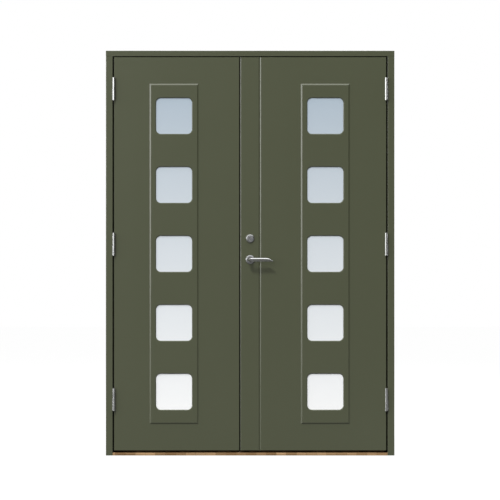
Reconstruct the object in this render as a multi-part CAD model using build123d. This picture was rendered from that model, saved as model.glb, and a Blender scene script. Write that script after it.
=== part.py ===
from build123d import *
from math import asin, atan2, cos, degrees, radians, sin, sqrt
import os

# A pair of outward-opening front door leaves, hung in a painted timber frame on an oak threshold.
# X runs to the right as seen from outside, Y runs into the house and Z runs up. Sizes are millimetres.
# The origin is the middle of the threshold's underside, halfway through the frame's depth.

# Frame
frame_width = 1490
frame_height = 2090
frame_depth = 115
jamb_face = 35
head_face = 29
stop_projection = 17
frame_arris = 2
screw_hole_radius = 7
screw_setback = 46
lowest_screw = 180
highest_screw_inset = 110
screw_count = 4

# Threshold
threshold_front_height = 14
threshold_rise = 1.5
threshold_stop_height = 38
threshold_arris = 3

# Gaps round, between and behind the closed leaves
side_gap = 7.5
head_gap = 5
foot_gap = 12
meeting_gap = 6
stop_gap = 8

# Rubber seals
seal_flange_width = 14
seal_flange_thickness = 2
seal_bulb_radius = 3.5
seal_clearance = 0.6
meeting_seal_setback = 10
meeting_seal_thickness = 6

# Leaves
leaf_thickness = 62
skin_thickness = 8
leaf_arris = 1.5
lock_strip_width = 100
meeting_bevel = 4
meeting_chamfer_width = 3
meeting_chamfer_depth = 2
groove_width = 12
groove_depth = 4

# Raised fields, with offsets taken from the frame's middle, and their glazed openings
left_field_offset = 393
right_field_offset = 388
field_width = 252
field_height = 1757
field_proud = 5
field_bevel = 7
pane_count = 5
pane_pitch = 356
pane_sight = 185
pane_corner = 24
rim_chamfer = 4
pane_bearing = 10
pane_thickness = 4
pane_play = 0.5
glazing_tape = 0.3
spacer_width = 8

# Lift-off hinges
hinge_foot_inset = 263
hinge_head_inset = 163
hinge_length = 122
hinge_seam = 0.6
knuckle_radius = 7.5
knuckle_standoff = 1
knuckle_dome = 3
hinge_axis_offset = 0.5
pin_radius = 4
pin_clearance = 0.1
pin_engagement = 46
hinge_plate_thickness = 2.5
hinge_plate_depth = 32
mortise_play = 0.3

# Lever handle, with the grip's heights and setbacks taken to its corners before they are rounded
lever_height = 1012
lever_backset = 50
rose_radius = 22.6
rose_height = 9
rose_rim = 4
rose_shoulder_radius = 16.4
rose_dish = 3
rose_dish_radius = 14.8
neck_radius = 10.5
neck_length = 34
neck_play = 0.3
neck_flat = 0.05
elbow_radius = 16
elbow_fullness = 4
elbow_blend = 0.6
grip_length = 119
grip_shoulder = 84
grip_top = 8
grip_bottom = -12.6
grip_sole = -10.8
grip_ridge = 3
grip_back = 7
grip_reach = 6.5
top_setback = 3.9
bottom_setback = 16.6
back_setback = 20
ridge_radius = 0.7
edge_radius = 1.6
grip_return = 6
tip_height = 2.4
taper_power = 1.8
taper_spans = 7
elbow_spans = 14
spindle_size = 8
spindle_play = 0.1
spindle_grip = 20
spindle_bore_radius = 9

# Lock cylinder, thumbturn, forend and strike
lock_rise = 109
cylinder_radius = 14
cylinder_play = 0.3
cylinder_reach = 24
cylinder_setback = 1
ring_base_radius = 20.3
ring_top_radius = 15
ring_rim = 5.6
ring_height = 10
keyway_width = 2.4
keyway_length = 10
keyway_depth = 6
turn_length = 34
turn_width = 11
turn_projection = 24
turn_shaft_radius = 6
edge_plate_height = 270
edge_plate_width = 24
edge_plate_thickness = 3
edge_plate_drop = 8
bolt_width = 13
latch_height = 24
dead_bolt_height = 32
dead_bolt_offset = 82
bolt_length = 20
bolt_setback = 1
bolt_play = 0.4
strike_pocket_depth = 16

# Places that follow from the sizes above
LEFT, RIGHT = -1, 1
OUTSIDE, INSIDE = -1, 1
frame_front = -frame_depth / 2
frame_back = frame_depth / 2
rebate_x = frame_width / 2 - jamb_face
stop_x = rebate_x - stop_projection
rebate_z = frame_height - head_face
leaf_front = frame_front
leaf_back = leaf_front + leaf_thickness
leaf_middle = (leaf_front + leaf_back) / 2
stop_y = leaf_back + stop_gap
core_front = leaf_front + skin_thickness
core_back = leaf_back - skin_thickness
leaf_edge_x = rebate_x - side_gap
leaf_foot = threshold_front_height + foot_gap
leaf_top = rebate_z - head_gap
leaf_centre_z = (leaf_foot + leaf_top) / 2
active_edge_x = -lock_strip_width / 2
passive_edge_x = active_edge_x - meeting_gap
field_centres = {LEFT: -left_field_offset, RIGHT: right_field_offset}
pane_pocket = pane_sight + 2 * pane_bearing
pane_heights = [leaf_centre_z + (i - (pane_count - 1) / 2) * pane_pitch for i in range(pane_count)]
hinge_axis_x = leaf_edge_x + hinge_axis_offset
hinge_axis_y = leaf_front - knuckle_standoff - knuckle_radius
lowest_hinge = leaf_foot + hinge_foot_inset
highest_hinge = leaf_top - hinge_head_inset
hinge_heights = (lowest_hinge, (lowest_hinge + highest_hinge) / 2, highest_hinge)
screw_pitch = (frame_height - highest_screw_inset - lowest_screw) / (screw_count - 1)
screw_heights = [lowest_screw + i * screw_pitch for i in range(screw_count)]
lock_axis_x = active_edge_x + lever_backset
lock_height = lever_height + lock_rise
edge_plate_centre = (lever_height + lock_height) / 2 - edge_plate_drop
dead_bolt_z = lever_height + dead_bolt_offset
overrun = 1


def block(x0, x1, y0, y1, z0, z1):
    """A box between two corners, given in either order along X."""
    middle = Pos((x0 + x1) / 2, (y0 + y1) / 2, (z0 + z1) / 2)
    return middle * Box(abs(x1 - x0), abs(y1 - y0), abs(z1 - z0))


def upright(corners, bottom, top):
    """A solid of constant plan, from its (x, y) corners."""
    plan = make_face(Polyline(*corners, close=True))
    return extrude(Plane.XY.offset(bottom) * plan, top - bottom, dir=(0, 0, 1))


def bar_through(radius, x, z, y0, y1):
    """A round bar along Y."""
    start = Plane((x, y0, z), x_dir=(1, 0, 0), z_dir=(0, 1, 0))
    return start * extrude(Circle(radius), y1 - y0)


def meeting_x(side, y):
    """Where a leaf's meeting edge stands at depth y: the edges open inwards so that the leaves swing clear."""
    start = passive_edge_x if side == LEFT else active_edge_x
    return start + side * meeting_bevel * (y - leaf_front) / leaf_thickness


def edge_strip(side, y0, y1, thickness, bottom, top):
    """A flat bar let into a leaf's meeting edge, flush with the sloping edge."""
    corners = [
        (meeting_x(side, y0), y0),
        (meeting_x(side, y1), y1),
        (meeting_x(side, y1) + side * thickness, y1),
        (meeting_x(side, y0) + side * thickness, y0),
    ]
    return upright(corners, bottom, top)


# Frame members
def jamb(side):
    """A rebated upright with hinge mortises and holes for the frame screws."""
    outer_x = side * frame_width / 2
    corners = [
        (outer_x, frame_front),
        (side * rebate_x, frame_front),
        (side * rebate_x, stop_y),
        (side * stop_x, stop_y),
        (side * stop_x, frame_back),
        (outer_x, frame_back),
    ]
    post = upright(corners, 0, rebate_z)
    rebate_corner = post.edges().filter_by(Axis.Z).sort_by_distance((side * rebate_x, stop_y, 0))[0]
    arrises = [edge for edge in post.edges().filter_by(Axis.Z) if edge != rebate_corner]
    post = fillet(arrises, frame_arris)
    for height in hinge_heights:
        post -= block(
            side * (rebate_x - overrun),
            side * (rebate_x + hinge_plate_thickness),
            frame_front - overrun,
            frame_front + hinge_plate_depth + mortise_play,
            height - hinge_length / 2 - mortise_play,
            height - hinge_seam / 2 + mortise_play,
        )
    for height in screw_heights:
        hole = Plane((0, frame_front + screw_setback, height), x_dir=(0, 1, 0), z_dir=(side, 0, 0))
        post -= hole * extrude(Circle(screw_hole_radius), frame_width)
    return post


def head():
    """The top member runs over both jambs, with its stop between theirs."""
    bar = block(-frame_width / 2, frame_width / 2, frame_front, frame_back, rebate_z, frame_height)
    bar = fillet(bar.edges().filter_by(Axis.X).group_by(Axis.Y)[0], frame_arris)
    return bar + block(-stop_x, stop_x, stop_y, frame_back, rebate_z - stop_projection, rebate_z)


def threshold():
    """Sloping oak tread under the leaves, with a raised stop behind them between the jamb stops."""
    tread_corners = [
        (frame_front, 0),
        (stop_y, 0),
        (stop_y, threshold_front_height + threshold_rise),
        (frame_front, threshold_front_height),
    ]
    tread = extrude(Plane.YZ * make_face(Polyline(*tread_corners, close=True)), rebate_x, both=True)
    nose = tread.edges().filter_by(Axis.X).sort_by_distance((0, frame_front, threshold_front_height))[0]
    tread = fillet(nose, threshold_arris)
    stop = block(-stop_x, stop_x, stop_y, frame_back, 0, threshold_stop_height)
    stop = fillet(stop.edges().filter_by(Axis.X).group_by(Axis.Z)[-1], threshold_arris)
    return tread + stop


def seal_section():
    """Flange and hollow-looking bulb of the weather seal: X along the stop's face, Y towards the leaf."""
    bulb_reach = stop_gap - seal_clearance
    flange = Pos(0, seal_flange_thickness / 2) * Rectangle(seal_flange_width, seal_flange_thickness)
    stem = Pos(0, (bulb_reach - seal_bulb_radius) / 2) * Rectangle(
        2 * seal_bulb_radius, bulb_reach - seal_bulb_radius
    )
    return flange + stem + Pos(0, bulb_reach - seal_bulb_radius) * Circle(seal_bulb_radius)


def jamb_seal(side):
    foot = threshold_front_height + threshold_rise + seal_clearance
    middle_x = side * (stop_x + rebate_x) / 2
    start = Plane((middle_x, stop_y, foot), x_dir=(-1, 0, 0), z_dir=(0, 0, 1))
    return start * extrude(seal_section(), rebate_z - seal_clearance - foot)


def crossing_seal(height):
    """A seal that runs from jamb stop to jamb stop at one height."""
    length = 2 * (stop_x - seal_clearance)
    start = Plane((-length / 2, stop_y, height), x_dir=(0, 0, 1), z_dir=(1, 0, 0))
    return start * extrude(seal_section(), length)


# Leaves
def hinge_mortise(side, height):
    """Recess in a leaf's hinge edge for the upper hinge plate."""
    return block(
        side * (leaf_edge_x + overrun),
        side * (leaf_edge_x - hinge_plate_thickness),
        leaf_front - field_proud - overrun,
        leaf_front + hinge_plate_depth + mortise_play,
        height + hinge_seam / 2 - mortise_play,
        height + hinge_length / 2 + mortise_play,
    )


def skin(side, facing):
    """Moulded board on one face of a leaf: flat ground, raised field and five openings with soft rims."""
    face_y = leaf_front if facing == OUTSIDE else leaf_back
    back_y = face_y - facing * skin_thickness
    field_face_y = face_y + facing * field_proud
    field_x = field_centres[side]
    corners = [
        (side * leaf_edge_x, face_y),
        (meeting_x(side, face_y), face_y),
        (meeting_x(side, back_y), back_y),
        (side * leaf_edge_x, back_y),
    ]
    board = upright(corners, leaf_foot, leaf_top)
    rim = board.faces().sort_by(Axis.Y)[0 if facing == OUTSIDE else -1].edges()
    if side == RIGHT:
        meeting_arris = rim.filter_by(Axis.Z).sort_by(Axis.X)[0]
        board = chamfer([edge for edge in rim if edge != meeting_arris], leaf_arris)
        board -= upright(
            [
                (active_edge_x - meeting_bevel, face_y + facing * overrun),
                (meeting_x(side, face_y) + meeting_chamfer_width, face_y + facing * overrun),
                (meeting_x(side, face_y) + meeting_chamfer_width, face_y),
                (meeting_x(side, face_y), face_y - facing * meeting_chamfer_depth),
                (active_edge_x - meeting_bevel, face_y - facing * meeting_chamfer_depth),
            ],
            leaf_foot - overrun,
            leaf_top + overrun,
        )
        groove_x = active_edge_x + lock_strip_width
        board -= upright(
            [
                (groove_x - groove_width / 2, face_y),
                (groove_x, face_y - facing * groove_depth),
                (groove_x + groove_width / 2, face_y),
            ],
            leaf_foot - overrun,
            leaf_top + overrun,
        )
    else:
        board = chamfer(rim, leaf_arris)
    field_plane = Plane((field_x, face_y, leaf_centre_z), x_dir=(1, 0, 0), z_dir=(0, facing, 0))
    bevel_angle = degrees(atan2(field_bevel, field_proud))
    moulded = board + field_plane * extrude(Rectangle(field_width, field_height), field_proud, taper=bevel_angle)
    for height in pane_heights:
        sight_plane = Plane((field_x, field_face_y, height), x_dir=(1, 0, 0), z_dir=(0, -facing, 0))
        sight = RectangleRounded(pane_sight, pane_sight, pane_corner)
        moulded -= sight_plane * extrude(sight, field_proud + overrun)
        half = pane_pocket / 2
        moulded -= block(field_x - half, field_x + half, face_y, back_y, height - half, height + half)
    field_face = moulded.faces().sort_by(Axis.Y)[0 if facing == OUTSIDE else -1]
    rims = [edge for wire in field_face.inner_wires() for edge in wire.edges()]
    moulded = chamfer(rims, rim_chamfer)
    if facing == OUTSIDE:
        for height in hinge_heights:
            moulded -= hinge_mortise(side, height)
    return moulded


def hinge_stile(side):
    """The stile that carries the hinges, from the leaf's edge to the glass."""
    inner_x = field_centres[side] + side * pane_pocket / 2
    stile = block(inner_x, side * leaf_edge_x, core_front, core_back, leaf_foot, leaf_top)
    for height in hinge_heights:
        stile -= hinge_mortise(side, height)
    return stile


def lock_stile(side):
    """The stile at the meeting edge, let in for the lock or for its strike."""
    inner_x = field_centres[side] - side * pane_pocket / 2
    corners = [
        (inner_x, core_front),
        (meeting_x(side, core_front), core_front),
        (meeting_x(side, core_back), core_back),
        (inner_x, core_back),
    ]
    return upright(corners, leaf_foot, leaf_top)


def rails(side):
    """Head, middle and foot rails between the stiles, one above and below each pane."""
    left, right = (field_centres[side] + half for half in (-pane_pocket / 2, pane_pocket / 2))
    edges = [leaf_foot]
    for height in pane_heights:
        edges += [height - pane_pocket / 2, height + pane_pocket / 2]
    edges.append(leaf_top)
    spans = zip(edges[0::2], edges[1::2])
    return Compound(children=[block(left, right, core_front, core_back, low, high) for low, high in spans])


def panes(side, facing):
    """Five sheets of glass against the lips of one skin."""
    face_y = leaf_front if facing == OUTSIDE else leaf_back
    near = face_y - facing * glazing_tape
    far = near - facing * pane_thickness
    half = pane_pocket / 2 - pane_play
    middle = field_centres[side]
    sheets = [block(middle - half, middle + half, near, far, z - half, z + half) for z in pane_heights]
    return Compound(children=sheets)


def spacers(side):
    """Frames that hold the two sheets of each sealed unit apart."""
    near = leaf_front + glazing_tape + pane_thickness
    far = leaf_back - glazing_tape - pane_thickness
    half = pane_pocket / 2 - pane_play
    clear = half - spacer_width
    middle = field_centres[side]
    rings = []
    for z in pane_heights:
        ring = block(middle - half, middle + half, near, far, z - half, z + half)
        rings.append(ring - block(middle - clear, middle + clear, near, far, z - clear, z + clear))
    return Compound(children=rings)


# Hinges
def knuckle(side, bottom, top, domed_end):
    """One barrel of a hinge, with a shallow dome on its free end, which is its top (1) or its foot (-1)."""
    free, seam = (top, bottom) if domed_end > 0 else (bottom, top)
    shoulder = free - domed_end * knuckle_dome
    dome_radius = (knuckle_radius**2 + knuckle_dome**2) / (2 * knuckle_dome)
    half_arc = asin(knuckle_radius / dome_radius) / 2
    crown = (dome_radius * sin(half_arc), free - domed_end * dome_radius * (1 - cos(half_arc)))
    outline = Polyline((0, free), (0, seam), (knuckle_radius, seam), (knuckle_radius, shoulder))
    outline += ThreePointArc((knuckle_radius, shoulder), crown, (0, free))
    barrel = revolve(Plane.XZ * make_face(outline), Axis.Z)
    return Pos(side * hinge_axis_x, hinge_axis_y, 0) * barrel


def frame_hinge(side, height):
    """Lower half: barrel with the pin, on a plate let into the jamb."""
    bottom = height - hinge_length / 2
    top = height - hinge_seam / 2
    half = knuckle(side, bottom, top, -1)
    half += block(
        side * rebate_x,
        side * (rebate_x + hinge_plate_thickness),
        hinge_axis_y,
        frame_front + hinge_plate_depth,
        bottom + knuckle_dome,
        top,
    )
    pin = Pos(side * hinge_axis_x, hinge_axis_y, top) * extrude(Circle(pin_radius), pin_engagement)
    return half + pin


def leaf_hinge(side, height):
    """Upper half: bored barrel that drops over the pin, on a plate let into the leaf's edge."""
    bottom = height + hinge_seam / 2
    top = height + hinge_length / 2
    half = knuckle(side, bottom, top, 1)
    half += block(
        side * leaf_edge_x,
        side * (leaf_edge_x - hinge_plate_thickness),
        hinge_axis_y,
        leaf_front + hinge_plate_depth,
        bottom,
        top - knuckle_dome,
    )
    bore_depth = pin_engagement + hinge_seam
    bore = Pos(side * hinge_axis_x, hinge_axis_y, bottom) * extrude(Circle(pin_radius + pin_clearance), bore_depth)
    return half - bore


# Lever, lock cylinder and thumbturn, made on a face whose Z points away from the leaf
def outside_at(height):
    return Plane((lock_axis_x, leaf_front, height), x_dir=(1, 0, 0), z_dir=(0, -1, 0))


def to_inside(shape):
    """The same piece on the leaf's inner face."""
    return mirror(shape, about=Plane((0, leaf_middle, 0), x_dir=(1, 0, 0), z_dir=(0, 1, 0)))


def turned(points):
    """A turned piece from its (radius, height) outline."""
    return revolve(Plane.XZ * make_face(Polyline(*points, close=True)), Axis.Z)


def lever_rose():
    """Round rose with a low rim, a broad bevel and a dished middle, bored for the lever's neck."""
    bore = neck_radius + neck_play
    outline = [
        (bore, 0),
        (rose_radius, 0),
        (rose_radius, rose_rim),
        (rose_shoulder_radius, rose_height),
        (rose_dish_radius, rose_height),
        (rose_dish_radius - rose_dish, rose_height - rose_dish),
        (bore, rose_height - rose_dish),
    ]
    return turned(outline)


def grip_section(corners, radii):
    """Four-sided section with rounded corners: X up, Y to the outer side of the elbow."""
    section = make_face(Polyline(*corners, close=True))
    for corner, radius in zip(corners, radii):
        section = fillet(section.vertices().sort_by_distance((*corner, 0))[0], radius)
    return section


def between(start, end, share):
    """The value a share of the way from one number to another."""
    return start + share * (end - start)


def eased(share):
    """A share from 0 to 1 that sets off and arrives gently."""
    return share * share * (3 - 2 * share)


def lever():
    """Round neck, elbow with a full corner, and a ridged grip whose top edge falls to a low tip."""
    upward = (0, 1, 0)
    grip_depth = neck_length + elbow_radius
    grip_corners = [
        (grip_top, grip_reach - top_setback),
        (grip_ridge, grip_reach),
        (grip_bottom, grip_reach - bottom_setback),
        (grip_back, grip_reach - back_setback),
    ]
    grip_radii = [edge_radius, ridge_radius, edge_radius, edge_radius]
    diagonal = neck_radius * sqrt(2)
    neck_corners = [(diagonal, 0), (0, diagonal), (-diagonal, 0), (0, -diagonal)]
    sections = []
    for i in range(elbow_spans + 1):
        share = i / elbow_spans
        turn = radians(90 * share)
        bend = elbow_radius + elbow_fullness * sin(2 * turn) ** 2
        station = Plane(
            (elbow_radius - bend * cos(turn), 0, neck_length + bend * sin(turn)),
            x_dir=upward,
            z_dir=(sin(turn), 0, cos(turn)),
        )
        blend = eased(min(1, share / elbow_blend))
        corners = [
            (between(a[0], b[0], blend), between(a[1], b[1], blend)) for a, b in zip(neck_corners, grip_corners)
        ]
        radii = [between(neck_radius - neck_flat, radius, blend) for radius in grip_radii]
        sections.append(station * grip_section(corners, radii))
    tip_share = tip_height / (grip_top - grip_bottom)
    for i in range(taper_spans + 1):
        share = i / taper_spans
        size = between(1, tip_share, share**taper_power)
        corners = [
            (between(grip_sole, up, size), between(grip_reach, out, size) - grip_return * share)
            for up, out in grip_corners
        ]
        station = Plane(
            (between(grip_shoulder, grip_length, share), 0, grip_depth), x_dir=upward, z_dir=(1, 0, 0)
        )
        sections.append(station * grip_section(corners, [size * radius for radius in grip_radii]))
    neck = extrude(sections[0], neck_length - neck_play, dir=(0, 0, -1))
    socket = spindle_size / 2 + spindle_play
    return neck + loft(sections, ruled=True) - block(-socket, socket, -socket, socket, 0, spindle_grip)


def cylinder_ring():
    """Ring with a low rim and a broad bevel that guards the lock cylinder."""
    bore = cylinder_radius + cylinder_play
    outline = [
        (bore, 0),
        (ring_base_radius, 0),
        (ring_base_radius, ring_rim),
        (ring_top_radius, ring_height),
        (bore, ring_height),
    ]
    return turned(outline)


def lock_cylinder():
    """Round key cylinder that reaches into the lock, with its keyway."""
    face = ring_height - cylinder_setback
    body = Pos(0, 0, -cylinder_reach) * extrude(Circle(cylinder_radius), face + cylinder_reach)
    keyway = block(
        -keyway_width / 2, keyway_width / 2, -keyway_length / 2, keyway_length / 2, face - keyway_depth, face + overrun
    )
    return body - keyway


def thumbturn_rose():
    bore = turn_shaft_radius + neck_play
    outline = [
        (bore, 0),
        (ring_base_radius, 0),
        (ring_base_radius, rose_rim),
        (ring_base_radius - rose_height + rose_rim, rose_height),
        (bore, rose_height),
    ]
    return turned(outline)


def thumbturn():
    """Oval turn on a round shaft that reaches into the lock."""
    shaft = Pos(0, 0, -cylinder_reach) * extrude(Circle(turn_shaft_radius), cylinder_reach + turn_projection)
    grip = extrude(SlotOverall(turn_length, turn_width, rotation=90), turn_projection - rose_height - overrun)
    return shaft + Pos(0, 0, rose_height + overrun) * grip


# Lock furniture in the meeting edges
def edge_plate(side):
    """Forend or strike plate: a flat bar with openings for the latch and the dead bolt."""
    y0 = leaf_middle - edge_plate_width / 2
    low = edge_plate_centre - edge_plate_height / 2
    plate = edge_strip(side, y0, y0 + edge_plate_width, edge_plate_thickness, low, low + edge_plate_height)
    return plate - bolt_space(side, bolt_play)


def bolt_space(side, play):
    """Room for the latch and the dead bolt, running in from a leaf's meeting edge."""
    half = bolt_width / 2 + play
    reach = edge_plate_thickness + (bolt_length if side == RIGHT else strike_pocket_depth)
    start = meeting_x(side, leaf_middle)
    space = Part()
    for height, size in ((lever_height, latch_height), (dead_bolt_z, dead_bolt_height)):
        space += block(
            start - side * meeting_bevel,
            start + side * reach,
            leaf_middle - half,
            leaf_middle + half,
            height - size / 2 - play,
            height + size / 2 + play,
        )
    return space


def bolt(height, size):
    """A bolt drawn back behind the face of the forend."""
    start = meeting_x(RIGHT, leaf_middle) + bolt_setback
    end = meeting_x(RIGHT, leaf_middle) + edge_plate_thickness + bolt_length
    half = bolt_width / 2
    return block(start, end, leaf_middle - half, leaf_middle + half, height - size / 2, height + size / 2)


def edge_recess(side):
    """Recess in a lock stile for its edge plate."""
    y0 = leaf_middle - edge_plate_width / 2 - mortise_play
    y1 = leaf_middle + edge_plate_width / 2 + mortise_play
    low = edge_plate_centre - edge_plate_height / 2 - mortise_play
    high = edge_plate_centre + edge_plate_height / 2 + mortise_play
    return edge_strip(side, y0, y1, edge_plate_thickness, low, high)


def meeting_seal():
    """Rubber strip on the passive leaf's edge that closes the gap between the leaves."""
    y0 = leaf_front + meeting_seal_setback
    y1 = y0 + meeting_seal_thickness
    corners = [
        (meeting_x(LEFT, y0), y0),
        (meeting_x(RIGHT, y0) - seal_clearance, y0),
        (meeting_x(RIGHT, y0) - seal_clearance, y1),
        (meeting_x(LEFT, y1), y1),
    ]
    return upright(corners, leaf_foot, leaf_top)


# Assembly
nodes = {
    "head": head(),
    "threshold": threshold(),
    "head_seal": crossing_seal(rebate_z - stop_projection / 2),
    "threshold_seal": crossing_seal(threshold_stop_height - seal_flange_width / 2 - threshold_arris),
}
for side, name in ((LEFT, "left"), (RIGHT, "right")):
    nodes[f"{name}_jamb"] = jamb(side)
    nodes[f"{name}_jamb_seal"] = jamb_seal(side)
    nodes[f"{name}_frame_hinges"] = Compound(children=[frame_hinge(side, z) for z in hinge_heights])
    nodes[f"{name}_leaf_hinges"] = Compound(children=[leaf_hinge(side, z) for z in hinge_heights])
    nodes[f"{name}_hinge_stile"] = hinge_stile(side)
    nodes[f"{name}_lock_stile"] = lock_stile(side) - edge_recess(side) - bolt_space(side, bolt_play)
    nodes[f"{name}_rails"] = rails(side)
    nodes[f"{name}_outer_skin"] = skin(side, OUTSIDE)
    nodes[f"{name}_inner_skin"] = skin(side, INSIDE)
    nodes[f"{name}_outer_panes"] = panes(side, OUTSIDE)
    nodes[f"{name}_inner_panes"] = panes(side, INSIDE)
    nodes[f"{name}_spacers"] = spacers(side)

# Openings through the active leaf for the spindle, the cylinder and the thumbturn
spindle_bore = bar_through(spindle_bore_radius, lock_axis_x, lever_height, leaf_front, leaf_back)
cylinder_end = leaf_front + cylinder_reach + cylinder_play
cylinder_bore = bar_through(cylinder_radius + cylinder_play, lock_axis_x, lock_height, leaf_front, cylinder_end)
turn_end = leaf_back - cylinder_reach - cylinder_play
turn_bore = bar_through(turn_shaft_radius + neck_play, lock_axis_x, lock_height, turn_end, leaf_back)
for name in ("right_outer_skin", "right_lock_stile", "right_inner_skin"):
    nodes[name] = nodes[name] - spindle_bore - cylinder_bore - turn_bore

nodes["strike_plate"] = edge_plate(LEFT)
nodes["meeting_seal"] = meeting_seal()
nodes["lock_forend"] = edge_plate(RIGHT)
nodes["latch_bolt"] = bolt(lever_height, latch_height)
nodes["dead_bolt"] = bolt(dead_bolt_z, dead_bolt_height)
nodes["outer_lever_rose"] = outside_at(lever_height) * lever_rose()
nodes["inner_lever_rose"] = to_inside(nodes["outer_lever_rose"])
nodes["outer_lever"] = outside_at(lever_height) * lever()
nodes["inner_lever"] = to_inside(nodes["outer_lever"])
nodes["lever_spindle"] = block(
    lock_axis_x - spindle_size / 2,
    lock_axis_x + spindle_size / 2,
    leaf_front - spindle_grip,
    leaf_back + spindle_grip,
    lever_height - spindle_size / 2,
    lever_height + spindle_size / 2,
)
nodes["cylinder_ring"] = outside_at(lock_height) * cylinder_ring()
nodes["lock_cylinder"] = outside_at(lock_height) * lock_cylinder()
nodes["thumbturn_rose"] = to_inside(outside_at(lock_height) * thumbturn_rose())
nodes["thumbturn"] = to_inside(outside_at(lock_height) * thumbturn())

os.makedirs("parts", exist_ok=True)
for name, shape in nodes.items():
    export_step(shape, f"parts/{name}.step")
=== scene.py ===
import math

import bpy
from mathutils import Matrix, Vector


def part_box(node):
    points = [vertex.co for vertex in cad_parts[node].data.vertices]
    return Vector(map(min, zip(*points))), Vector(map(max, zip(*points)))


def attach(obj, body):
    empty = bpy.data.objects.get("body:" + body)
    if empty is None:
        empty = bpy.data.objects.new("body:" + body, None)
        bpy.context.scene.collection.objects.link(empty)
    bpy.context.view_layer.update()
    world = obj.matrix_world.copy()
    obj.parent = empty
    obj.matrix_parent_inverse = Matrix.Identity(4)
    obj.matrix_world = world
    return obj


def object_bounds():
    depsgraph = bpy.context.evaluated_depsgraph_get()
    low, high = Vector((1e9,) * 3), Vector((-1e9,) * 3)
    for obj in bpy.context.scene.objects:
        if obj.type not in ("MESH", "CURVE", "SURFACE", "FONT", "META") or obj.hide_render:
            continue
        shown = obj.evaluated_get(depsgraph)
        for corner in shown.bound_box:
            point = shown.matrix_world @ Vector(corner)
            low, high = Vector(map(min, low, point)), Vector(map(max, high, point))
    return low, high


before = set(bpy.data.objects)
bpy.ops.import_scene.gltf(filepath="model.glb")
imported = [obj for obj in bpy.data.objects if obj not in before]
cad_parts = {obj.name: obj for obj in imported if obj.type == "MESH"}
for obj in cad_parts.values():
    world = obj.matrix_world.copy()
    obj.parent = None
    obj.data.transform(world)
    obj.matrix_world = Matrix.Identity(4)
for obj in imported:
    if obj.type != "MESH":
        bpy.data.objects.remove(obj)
cad_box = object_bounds()


# Painted timber of the frame and the leaves
# The jambs, the head and the cores of the leaves are pine, and the leaf faces are moulded board.
# All of it is sprayed at the works with satin alkyd paint in one olive green.
def linear(hex_colour):
    """An sRGB hex colour as linear RGBA."""
    shares = [int(hex_colour[i : i + 2], 16) / 255 for i in (1, 3, 5)]
    light = [s / 12.92 if s <= 0.04045 else ((s + 0.055) / 1.055) ** 2.4 for s in shares]
    return (*light, 1)


def add_node(tree, kind, settings=None, inputs=None):
    """One shader node with its settings, its input values and its links."""
    added = tree.nodes.new(kind)
    for name, value in (settings or {}).items():
        setattr(added, name, value)
    for name, value in (inputs or {}).items():
        if isinstance(value, bpy.types.NodeSocket):
            tree.links.new(value, added.inputs[name])
        else:
            added.inputs[name].default_value = value
    return added


def new_finish(name, inputs=None):
    """A material, its node tree, its Principled surface and its coordinates in the door's own frame."""
    finish = bpy.data.materials.new(name)
    finish.use_nodes = True
    tree = finish.node_tree
    tree.nodes.clear()
    surface = add_node(tree, "ShaderNodeBsdfPrincipled", inputs=inputs)
    add_node(tree, "ShaderNodeOutputMaterial", inputs={"Surface": surface.outputs["BSDF"]})
    place = add_node(tree, "ShaderNodeTexCoord").outputs["Object"]
    return finish, tree, surface, place


def dress(finish, *node_names):
    """Gives CAD nodes one finish."""
    for name in node_names:
        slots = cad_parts[name].data.materials
        slots.clear()
        slots.append(finish)


def olive_satin_paint():
    """Satin alkyd: an even olive with a clear sheen that the spray's faint stipple breaks up."""
    tone_size = 0.4
    stipple_size = 0.007   # a real stipple is nearer 1 mm, too fine to show at this distance
    finish, tree, surface, place = new_finish("olive_satin_paint", {"Specular IOR Level": 0.95})
    cloud = add_node(
        tree, "ShaderNodeTexNoise", inputs={"Vector": place, "Scale": 1 / tone_size, "Detail": 2}
    )
    # Sockets 6 and 7 of a colour Mix are its two colours, and its output 2 is the mixed colour
    tone = add_node(
        tree, "ShaderNodeMix", {"data_type": "RGBA"},
        {0: cloud.outputs[0], 6: linear("#4c503b"), 7: linear("#4f533e")},
    )
    stipple = add_node(
        tree, "ShaderNodeTexNoise", inputs={"Vector": place, "Scale": 1 / stipple_size, "Detail": 3}
    )
    sheen = add_node(
        tree, "ShaderNodeMapRange", inputs={"Value": stipple.outputs[0], "To Min": 0.2, "To Max": 0.26}
    )
    relief = add_node(
        tree, "ShaderNodeBump", inputs={"Strength": 0.08, "Distance": 0.0004, "Height": stipple.outputs[0]}
    )
    tree.links.new(tone.outputs[2], surface.inputs["Base Color"])
    tree.links.new(sheen.outputs[0], surface.inputs["Roughness"])
    tree.links.new(relief.outputs[0], surface.inputs["Normal"])
    return finish


paint = olive_satin_paint()
dress(paint, "head", "left_jamb", "right_jamb")
for side in ("left", "right"):
    for piece in ("hinge_stile", "lock_stile", "rails", "outer_skin", "inner_skin"):
        dress(paint, f"{side}_{piece}")


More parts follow.
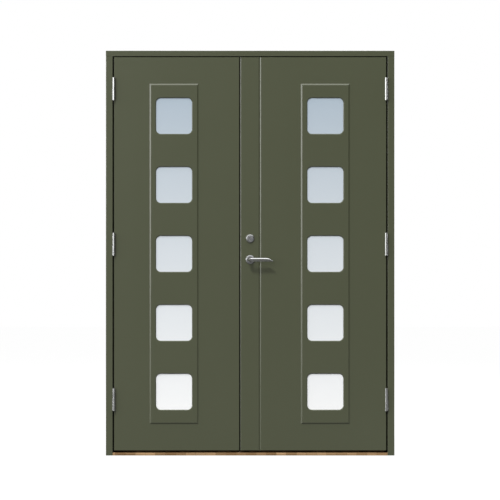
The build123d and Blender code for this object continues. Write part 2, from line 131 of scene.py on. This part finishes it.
# Threshold
# An oak sill glued up from short finger-jointed staves, planed and oiled.
# It lies between the jambs under the leaves, with the staves running along it.
def oiled_oak():
    """Oak staves of mixed tone, with dark growth lines along the grain and thin glue lines."""
    stave_length = 0.052
    stave_width = 0.038
    glue_line = 0.0007
    grain_length = 0.16
    grain_width = 0.0035
    grain_share = 0.5
    finish, tree, surface, place = new_finish("oiled_oak")
    staves = add_node(
        tree, "ShaderNodeTexBrick", {"offset": 0.41, "squash": 1.35, "squash_frequency": 3},
        {
            "Vector": place, "Scale": 1, "Brick Width": stave_length, "Row Height": stave_width,
            "Mortar Size": glue_line, "Mortar Smooth": 0.3,
            "Color1": linear("#c7a175"), "Color2": linear("#8f6d45"), "Mortar": linear("#5f452c"),
        },
    )
    stretched = add_node(
        tree, "ShaderNodeMapping",
        inputs={"Vector": place, "Scale": (1 / grain_length, 1 / grain_width, 1 / grain_width)},
    )
    grain = add_node(
        tree, "ShaderNodeTexNoise", inputs={"Vector": stretched.outputs[0], "Scale": 1, "Detail": 5}
    )
    lines = add_node(
        tree, "ShaderNodeMapRange", inputs={"Value": grain.outputs[0], "From Min": 0.3, "From Max": 0.7}
    )
    wood = add_node(
        tree, "ShaderNodeMix", {"data_type": "RGBA", "blend_type": "MULTIPLY"},
        {0: grain_share, 6: staves.outputs["Color"], 7: lines.outputs[0]},
    )
    sheen = add_node(
        tree, "ShaderNodeMapRange", inputs={"Value": lines.outputs[0], "To Min": 0.62, "To Max": 0.48}
    )
    relief = add_node(
        tree, "ShaderNodeBump", inputs={"Strength": 0.25, "Distance": 0.0005, "Height": lines.outputs[0]}
    )
    tree.links.new(wood.outputs[2], surface.inputs["Base Color"])
    tree.links.new(sheen.outputs[0], surface.inputs["Roughness"])
    tree.links.new(relief.outputs[0], surface.inputs["Normal"])
    return finish


dress(oiled_oak(), "threshold")


# Weather seals
# Black EPDM strips pressed into the stops of the frame and into the passive leaf's meeting edge.
# Extruded rubber is matt and nearly black, a little greyer where it has been rubbed.
def black_rubber():
    """Matt extruded rubber with a faint greyer bloom in patches."""
    bloom_size = 0.012
    finish, tree, surface, place = new_finish("black_rubber", {"Specular IOR Level": 0.3})
    bloom = add_node(
        tree, "ShaderNodeTexNoise", inputs={"Vector": place, "Scale": 1 / bloom_size, "Detail": 3}
    )
    tone = add_node(
        tree, "ShaderNodeMix", {"data_type": "RGBA"},
        {0: bloom.outputs[0], 6: linear("#0c0c0b"), 7: linear("#1a1a18")},
    )
    sheen = add_node(
        tree, "ShaderNodeMapRange", inputs={"Value": bloom.outputs[0], "To Min": 0.55, "To Max": 0.75}
    )
    tree.links.new(tone.outputs[2], surface.inputs["Base Color"])
    tree.links.new(sheen.outputs[0], surface.inputs["Roughness"])
    return finish


dress(black_rubber(), "head_seal", "threshold_seal", "left_jamb_seal", "right_jamb_seal", "meeting_seal")


# Lift-off hinges
# Rolled steel barrels on flat plates, plated with bright zinc and passed through a barrelling drum.
# The lower halves carry the pins and are let into the jambs, and the upper halves into the leaves.
def bright_zinc():
    """Bright zinc plate: pale metal, softly blurred, with small cloudy patches."""
    patch_size = 0.009
    finish, tree, surface, place = new_finish("bright_zinc", {"Metallic": 1})
    cloud = add_node(
        tree, "ShaderNodeTexNoise", inputs={"Vector": place, "Scale": 1 / patch_size, "Detail": 4}
    )
    tone = add_node(
        tree, "ShaderNodeMix", {"data_type": "RGBA"},
        {0: cloud.outputs[0], 6: linear("#c6c7c6"), 7: linear("#d3d4d2")},
    )
    sheen = add_node(
        tree, "ShaderNodeMapRange", inputs={"Value": cloud.outputs[0], "To Min": 0.2, "To Max": 0.28}
    )
    tree.links.new(tone.outputs[2], surface.inputs["Base Color"])
    tree.links.new(sheen.outputs[0], surface.inputs["Roughness"])
    return finish


zinc = bright_zinc()
dress(zinc, "left_frame_hinges", "right_frame_hinges", "left_leaf_hinges", "right_leaf_hinges")


# Sealed glass units
# Two sheets of acid-etched glass round an aluminium spacer, bedded behind the lips of the skins.
# The etched face scatters light, and its tone is painted with a reflection of the sky, so a unit reads as a
# cool pale sheet that is whiter towards the floor.
def satin_glass():
    """Etched float glass with a very fine frost and a painted sky reflection: blue-grey high up, nearly
    white low down.
    """
    foot = 0.24
    top = 1.85
    reflection_fade_power = 0.9   # under 1, so that the tone leaves white a little sooner than an even blend
    frost_size = 0.004
    finish, tree, surface, place = new_finish("satin_glass", {"Specular IOR Level": 0.35, "IOR": 1.52})
    height = add_node(tree, "ShaderNodeSeparateXYZ", inputs={"Vector": place}).outputs["Z"]
    rise = add_node(tree, "ShaderNodeMapRange", inputs={"Value": height, "From Min": foot, "From Max": top})
    # Painted reflection of the sky: it grows with height, from white at the foot to blue-grey at the top
    painted_sky_reflection = add_node(tree, "ShaderNodeMath", {"operation": "POWER"}, {0: rise.outputs[0], 1: reflection_fade_power})
    frost = add_node(
        tree, "ShaderNodeTexNoise", inputs={"Vector": place, "Scale": 1 / frost_size, "Detail": 2}
    )
    tone = add_node(
        tree, "ShaderNodeMix", {"data_type": "RGBA"},
        {0: painted_sky_reflection.outputs[0], 6: linear("#feffff"), 7: linear("#aebcc8")},
    )
    sheen = add_node(
        tree, "ShaderNodeMapRange", inputs={"Value": frost.outputs[0], "To Min": 0.42, "To Max": 0.5}
    )
    tree.links.new(tone.outputs[2], surface.inputs["Base Color"])
    tree.links.new(sheen.outputs[0], surface.inputs["Roughness"])
    return finish


def mill_aluminium():
    """Rolled spacer bar: dull grey metal, finely mottled as it comes from the mill."""
    mottle_size = 0.002
    finish, tree, surface, place = new_finish("mill_aluminium", {"Metallic": 1, "Roughness": 0.42})
    mottle = add_node(
        tree, "ShaderNodeTexNoise", inputs={"Vector": place, "Scale": 1 / mottle_size, "Detail": 2}
    )
    tone = add_node(
        tree, "ShaderNodeMix", {"data_type": "RGBA"},
        {0: mottle.outputs[0], 6: linear("#8d9092"), 7: linear("#a9abac")},
    )
    tree.links.new(tone.outputs[2], surface.inputs["Base Color"])
    return finish


glass = satin_glass()
spacer_bar = mill_aluminium()
for side in ("left", "right"):
    dress(glass, f"{side}_outer_panes", f"{side}_inner_panes")
    dress(spacer_bar, f"{side}_spacers")


# Lock furniture in the meeting edges
# Stainless forend and strike plates, with the latch, the dead bolt and the lever's spindle behind them.
# The plates are blanked from strip that was brushed along its length, and screwed into the stiles.
def brushed_stainless():
    """Stainless strip: grey metal whose long brush marks run up and down."""
    mark_length = 0.05
    mark_width = 0.0009
    finish, tree, surface, place = new_finish("brushed_stainless", {"Metallic": 1})
    stretched = add_node(
        tree, "ShaderNodeMapping",
        inputs={"Vector": place, "Scale": (1 / mark_width, 1 / mark_width, 1 / mark_length)},
    )
    marks = add_node(
        tree, "ShaderNodeTexNoise", inputs={"Vector": stretched.outputs[0], "Scale": 1, "Detail": 3}
    )
    tone = add_node(
        tree, "ShaderNodeMix", {"data_type": "RGBA"},
        {0: marks.outputs[0], 6: linear("#9d9c98"), 7: linear("#c4c3bf")},
    )
    sheen = add_node(
        tree, "ShaderNodeMapRange", inputs={"Value": marks.outputs[0], "To Min": 0.32, "To Max": 0.46}
    )
    relief = add_node(
        tree, "ShaderNodeBump", inputs={"Strength": 0.15, "Distance": 0.0001, "Height": marks.outputs[0]}
    )
    tree.links.new(tone.outputs[2], surface.inputs["Base Color"])
    tree.links.new(sheen.outputs[0], surface.inputs["Roughness"])
    tree.links.new(relief.outputs[0], surface.inputs["Normal"])
    return finish


stainless = brushed_stainless()
dress(stainless, "strike_plate", "lock_forend", "latch_bolt", "dead_bolt", "lever_spindle")


# Screws of the hinges and the edge plates
# Countersunk steel screws with a raised head and a cross recess, cold headed and then plated.
# Three hold each hinge plate to its jamb or leaf, and two hold the forend and the strike to their stiles.
def cross_head_screw():
    """One screw head at the origin, facing +Z, with its plate's face at zero height."""
    head_radius = 0.004
    sunk = 0.0006
    side_height = 0.0001
    crown_rise = 0.00022
    recess_radius = 0.0023
    recess_depth = 0.00045
    recess_taper = 0.8
    sides = 24
    smooth_angle = 35
    bpy.ops.object.select_all(action="DESELECT")
    bpy.ops.mesh.primitive_cylinder_add(
        vertices=sides, radius=head_radius, depth=sunk + side_height,
        location=(0, 0, (side_height - sunk) / 2),
    )
    bpy.ops.object.transform_apply(location=True, rotation=True, scale=True)
    head = bpy.context.object
    mesh = head.data
    for face in mesh.polygons:
        face.select = face.normal.z > 0.9
    bpy.ops.object.mode_set(mode="EDIT")
    bpy.ops.mesh.select_mode(type="FACE")
    bpy.ops.mesh.inset(thickness=(head_radius - recess_radius) / 2)
    bpy.ops.transform.translate(value=(0, 0, crown_rise))
    bpy.ops.mesh.inset(thickness=(head_radius - recess_radius) / 2)
    bpy.ops.mesh.select_mode(type="VERT")
    # The arms of the cross stand on the diagonals, so the rim's points between them are drawn in
    for steps_from_arm, share in ((3, 0.36), (2, 0.56)):
        bpy.ops.object.mode_set(mode="OBJECT")
        rim = max(mesh.polygons, key=lambda face: face.center.z)
        inner = set()
        for i in rim.vertices:
            angle = math.degrees(math.atan2(mesh.vertices[i].co.y, mesh.vertices[i].co.x))
            from_arm = abs(angle % 90 - 45)
            if round(from_arm * sides / 360) == steps_from_arm:
                inner.add(i)
        for vertex in mesh.vertices:
            vertex.select = vertex.index in inner
        for edge in mesh.edges:
            edge.select = False
        for face in mesh.polygons:
            face.select = False
        bpy.ops.object.mode_set(mode="EDIT")
        bpy.ops.transform.resize(value=(share, share, 1))
    bpy.ops.object.mode_set(mode="OBJECT")
    rim = max(mesh.polygons, key=lambda face: face.center.z)
    for face in mesh.polygons:
        face.select = face.index == rim.index
    bpy.ops.object.mode_set(mode="EDIT")
    bpy.ops.mesh.select_mode(type="FACE")
    bpy.ops.mesh.extrude_region_move(TRANSFORM_OT_translate={"value": (0, 0, -recess_depth)})
    bpy.ops.transform.resize(value=(recess_taper, recess_taper, 1))
    bpy.ops.object.mode_set(mode="OBJECT")
    bpy.ops.object.shade_smooth_by_angle(angle=math.radians(smooth_angle))
    return head


def drive_screws(pattern, places, name, body, finish):
    """Copies of one screw at (point, facing) places, joined into one piece that rides on a body."""
    copies = []
    for point, facing in places:
        copy = bpy.data.objects.new(name, pattern.data.copy())
        copy.data.transform(facing.to_track_quat("Z", "Y").to_matrix().to_4x4())
        copy.data.transform(Matrix.Translation(point))
        bpy.context.scene.collection.objects.link(copy)
        copies.append(copy)
    bpy.ops.object.select_all(action="DESELECT")
    for copy in copies:
        copy.select_set(True)
    bpy.context.view_layer.objects.active = copies[0]
    bpy.ops.object.join()
    joined = bpy.context.object
    joined.name = name
    joined.data.materials.clear()
    joined.data.materials.append(finish)
    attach(joined, body)


screw_pattern = cross_head_screw()
screw_rises = (0.012, 0.0295, 0.047)
screw_setbacks = (0.011, 0.022, 0.011)
hinge_seam = 0.0006
plate_thickness = 0.0025
for side, outward in (("left", -1), ("right", 1)):
    outer_corner = 0 if outward < 0 else 1
    frame_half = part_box(f"{side}_frame_hinges")
    jamb_plate_x = frame_half[outer_corner].x - outward * plate_thickness
    leaf_plate_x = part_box(f"{side}_hinge_stile")[outer_corner].x
    low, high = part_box(f"{side}_leaf_hinges")
    lowest = low.z - hinge_seam / 2
    highest = high.z - (lowest - frame_half[0].z)
    jamb_places = []
    leaf_places = []
    for height in (lowest, (lowest + highest) / 2, highest):
        for rise, setback in zip(screw_rises, screw_setbacks):
            y = high.y - setback
            jamb_places.append((Vector((jamb_plate_x, y, height - rise)), Vector((-outward, 0, 0))))
            leaf_places.append((Vector((leaf_plate_x, y, height + rise)), Vector((outward, 0, 0))))
    drive_screws(screw_pattern, jamb_places, f"{side}_jamb_screws", "frame", zinc)
    drive_screws(screw_pattern, leaf_places, f"{side}_leaf_screws", f"{side}_leaf", zinc)

edge_slope = 4 / 62   # the meeting edges are planed 4 mm out of square across a leaf of 62 mm
end_inset = 0.012
for plate, body, outward in (("lock_forend", "right_leaf", -1), ("strike_plate", "left_leaf", 1)):
    low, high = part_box(plate)
    slope_run = edge_slope * (high.y - low.y) / 2
    face_x = low.x + slope_run if outward < 0 else high.x - slope_run
    facing = Vector((outward, edge_slope, 0)).normalized()
    middle_y = (low.y + high.y) / 2
    places = [(Vector((face_x, middle_y, z)), facing) for z in (low.z + end_inset, high.z - end_inset)]
    drive_screws(screw_pattern, places, f"{plate}_screws", body, stainless)
bpy.data.objects.remove(screw_pattern)


# Levers, roses, cylinder and thumbturn
# Brass castings and turnings, ground, buffed and plated with nickel and chrome.
# The roses screw to the leaf, the levers sit on a square spindle, and the cylinder fills its ring.
def polished_chrome():
    """Chrome plate: a clear mirror with the faint waviness that buffing leaves."""
    wave_size = 0.014
    finish, tree, surface, place = new_finish("polished_chrome", {"Metallic": 1})
    wave = add_node(
        tree, "ShaderNodeTexNoise", inputs={"Vector": place, "Scale": 1 / wave_size, "Detail": 2}
    )
    tone = add_node(
        tree, "ShaderNodeMix", {"data_type": "RGBA"},
        {0: wave.outputs[0], 6: linear("#c3c4c5"), 7: linear("#cfd0d1")},
    )
    sheen = add_node(
        tree, "ShaderNodeMapRange", inputs={"Value": wave.outputs[0], "To Min": 0.14, "To Max": 0.22}
    )
    tree.links.new(tone.outputs[2], surface.inputs["Base Color"])
    tree.links.new(sheen.outputs[0], surface.inputs["Roughness"])
    return finish


def turned_chrome(name, node, painted_light_tones, sheens):
    """Satin chrome over a turned face: fine tool lines round the axis of one node, on a tone set per node as
    painted light and shade.
    """
    line_pitch = 0.0009   # a real tool line is nearer 0.3 mm, too fine to show at this distance
    ring_wave = 0.314     # the width of one ring of the wave texture at a scale of 1
    middle = sum(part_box(node), Vector()) / 2
    finish, tree, surface, place = new_finish(name, {"Metallic": 1})
    centred = add_node(
        tree, "ShaderNodeMapping", inputs={"Vector": place, "Location": (-middle.x, 0, -middle.z)}
    )
    lines = add_node(
        tree, "ShaderNodeTexWave", {"wave_type": "RINGS", "rings_direction": "Y"},
        {"Vector": centred.outputs[0], "Scale": ring_wave / line_pitch, "Distortion": 0.4},
    )
    tone = add_node(
        tree, "ShaderNodeMix", {"data_type": "RGBA"},
        {0: lines.outputs[1], 6: linear(painted_light_tones[0]), 7: linear(painted_light_tones[1])},
    )
    sheen = add_node(
        tree, "ShaderNodeMapRange",
        inputs={"Value": lines.outputs[1], "To Min": sheens[0], "To Max": sheens[1]},
    )
    relief = add_node(
        tree, "ShaderNodeBump", inputs={"Strength": 0.07, "Distance": 0.0001, "Height": lines.outputs[1]}
    )
    tree.links.new(tone.outputs[2], surface.inputs["Base Color"])
    tree.links.new(sheen.outputs[0], surface.inputs["Roughness"])
    tree.links.new(relief.outputs[0], surface.inputs["Normal"])
    return finish


# One plating in three tones: the rose and the ring are painted darker as shade, and the cylinder lighter as
# painted light
rose_plate = turned_chrome("turned_chrome_rose", "outer_lever_rose", ("#a9aaab", "#b5b6b7"), (0.42, 0.5))
ring_plate = turned_chrome("turned_chrome_ring", "cylinder_ring", ("#b0b1b2", "#bcbdbe"), (0.38, 0.46))
plug_plate = turned_chrome("turned_chrome_cylinder", "cylinder_ring", ("#c9cacb", "#d5d6d7"), (0.24, 0.32))
dress(polished_chrome(), "outer_lever", "inner_lever", "thumbturn")
dress(rose_plate, "outer_lever_rose", "inner_lever_rose")
dress(ring_plate, "cylinder_ring", "thumbturn_rose")
dress(plug_plate, "lock_cylinder")


# Floor and room
# A pale studio floor under the threshold and a plain room round the door, both white to the lens.
# Metal, paint and glass mirror them dimmer, darkest in front on the right and palest behind the door,
# and as sources of light they stay dim. The floor's matt part takes the door's shadow.
floor_span = 60
floor_grey = 0.1
floor_glow = 0.92
floor_front_grey = 0.12
floor_back_grey = 0.5
floor_back_start = 0.06
floor_back_full = 0.8
bpy.ops.object.select_all(action="DESELECT")
bpy.ops.mesh.primitive_plane_add(size=floor_span)
floor = bpy.context.object
floor.name = "floor"
floor_finish = bpy.data.materials.new("pale_floor")
floor_finish.use_nodes = True
floor_tree = floor_finish.node_tree
floor_tree.nodes.clear()
floor_path = add_node(floor_tree, "ShaderNodeLightPath")
floor_place = add_node(floor_tree, "ShaderNodeTexCoord").outputs["Object"]
floor_depth = add_node(floor_tree, "ShaderNodeSeparateXYZ", inputs={"Vector": floor_place}).outputs["Y"]
floor_behind = add_node(
    floor_tree, "ShaderNodeMapRange", {"interpolation_type": "SMOOTHSTEP"},
    {
        "Value": floor_depth, "From Min": floor_back_start, "From Max": floor_back_full,
        "To Min": floor_front_grey, "To Max": floor_back_grey,
    },
)
floor_mirrored = add_node(
    floor_tree, "ShaderNodeMath", {"operation": "MAXIMUM"},
    {0: floor_path.outputs["Is Glossy Ray"], 1: floor_path.outputs["Is Transmission Ray"]},
)
floor_reflection = add_node(
    floor_tree, "ShaderNodeMath", {"operation": "MULTIPLY"},
    {0: floor_mirrored.outputs[0], 1: floor_behind.outputs[0]},
)
floor_seen = add_node(
    floor_tree, "ShaderNodeMath", {"operation": "MAXIMUM"},
    {0: floor_path.outputs["Is Camera Ray"], 1: floor_reflection.outputs[0]},
)
floor_light = add_node(
    floor_tree, "ShaderNodeMath", {"operation": "MULTIPLY"}, {0: floor_seen.outputs[0], 1: floor_glow}
)
floor_matt = add_node(floor_tree, "ShaderNodeBsdfDiffuse", inputs={"Color": (floor_grey,) * 3 + (1,)})
floor_white = add_node(floor_tree, "ShaderNodeEmission", inputs={"Strength": floor_light.outputs[0]})
floor_sum = add_node(
    floor_tree, "ShaderNodeAddShader", inputs={0: floor_matt.outputs[0], 1: floor_white.outputs[0]}
)
add_node(floor_tree, "ShaderNodeOutputMaterial", inputs={"Surface": floor_sum.outputs[0]})
floor.data.materials.append(floor_finish)

room_fill = 0.13
room_front_left = 0.22
room_front_right = 0.06
room_back = 0.5
room_side_turn = 0.7
room_back_turn = 0.35
room = bpy.data.worlds.new("studio_room")
room.use_nodes = True
bpy.context.scene.world = room
room_tree = room.node_tree
room_tree.nodes.clear()
room_path = add_node(room_tree, "ShaderNodeLightPath")
room_place = add_node(room_tree, "ShaderNodeTexCoord").outputs["Generated"]
room_way = add_node(room_tree, "ShaderNodeSeparateXYZ", inputs={"Vector": room_place})
front = add_node(
    room_tree, "ShaderNodeMapRange",
    inputs={
        "Value": room_way.outputs["X"], "From Min": -room_side_turn, "From Max": room_side_turn,
        "To Min": room_front_left, "To Max": room_front_right,
    },
)
behind = add_node(
    room_tree, "ShaderNodeMapRange", {"interpolation_type": "SMOOTHSTEP"},
    {
        "Value": room_way.outputs["Y"], "From Min": 0, "From Max": room_back_turn,
        "To Min": front.outputs[0], "To Max": room_back,
    },
)
mirrored = add_node(
    room_tree, "ShaderNodeMath", {"operation": "MAXIMUM"},
    {0: room_path.outputs["Is Glossy Ray"], 1: room_path.outputs["Is Transmission Ray"]},
)
unlit = add_node(
    room_tree, "ShaderNodeMix", {"data_type": "FLOAT"},
    {0: mirrored.outputs[0], 2: room_fill, 3: behind.outputs[0]},
)
brightness = add_node(
    room_tree, "ShaderNodeMath", {"operation": "MAXIMUM"},
    {0: unlit.outputs[0], 1: room_path.outputs["Is Camera Ray"]},
)
backing = add_node(
    room_tree, "ShaderNodeBackground", inputs={"Color": (1, 1, 1, 1), "Strength": brightness.outputs[0]}
)
add_node(room_tree, "ShaderNodeOutputWorld", inputs={"Surface": backing.outputs[0]})


# Lamps
# A key lamp high on the left throws the lever's shadow, and soft boxes stand in front on the left, above and
# on the left. Three more light the back and the sides. Each gives its share of a plain level of light.
face_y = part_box("left_jamb")[0].y
lamp_target = Vector((0, face_y, (cad_box[0].z + cad_box[1].z) / 2))


def hang_lamp(data, toward, distance):
    """Puts a lamp at a distance from the door in one direction, looking at the door."""
    direction = Vector(toward).normalized()
    lamp = bpy.data.objects.new(data.name, data)
    bpy.context.scene.collection.objects.link(lamp)
    lamp.location = lamp_target + direction * distance
    lamp.rotation_mode = "QUATERNION"
    lamp.rotation_quaternion = direction.to_track_quat("Z", "Y")
    lamp.visible_camera = False
    return lamp


def softbox(name, toward, distance, width, height, share):
    """A rectangular lamp that gives the front or the back of the door its share of the light."""
    data = bpy.data.lights.new(name, "AREA")
    data.shape = "RECTANGLE"
    data.size = width
    data.size_y = height
    data.energy = share * math.pi**2 * distance**2 / abs(Vector(toward).normalized().y)
    hang_lamp(data, toward, distance)


key_toward = (-0.2, -0.6, 0.79)
key_share = 0.41
key_spread = 8
key_data = bpy.data.lights.new("key_lamp", "SUN")
key_data.angle = math.radians(key_spread)
key_data.energy = key_share * math.pi / abs(Vector(key_toward).normalized().y)
key_lamp = hang_lamp(key_data, key_toward, distance=12)
key_lamp.visible_glossy = False
softbox("front_left_lamp", (-0.5, -0.8, 0.35), distance=16, width=12, height=11, share=0.285)
softbox("overhead_lamp", (0, -0.325, 0.946), distance=7, width=16, height=3.5, share=0.22)
softbox("left_lamp", (-0.93, -0.32, 0.2), distance=20, width=13, height=9, share=0.09)
softbox("rear_key_lamp", (0.35, 0.62, 0.7), distance=10, width=6, height=6, share=0.42)
softbox("right_side_lamp", (0.85, 0.5, 0.2), distance=9, width=5, height=5, share=0.18)
softbox("rear_side_lamp", (-0.8, 0.5, 0.2), distance=9, width=3, height=3, share=0.2)


# Camera
# A long lens stands square to the door, at the distance where the photograph's frame takes in its width.
# The picture stays in the plain colour space, so a finish shows the colour that it was given.
lens = 250
sensor = 36
framed_width = 2.5815
view_centre_x = -0.0008
view_centre_z = 1.061
camera_data = bpy.data.cameras.new("front_camera")
camera_data.lens = lens
camera_data.sensor_width = sensor
camera_data.clip_end = 200
camera = bpy.data.objects.new("front_camera", camera_data)
bpy.context.scene.collection.objects.link(camera)
camera.location = (view_centre_x, face_y - framed_width * lens / sensor, view_centre_z)
camera.rotation_euler = (math.radians(90), 0, 0)
bpy.context.scene.camera = camera
bpy.context.scene.view_settings.view_transform = "Standard"
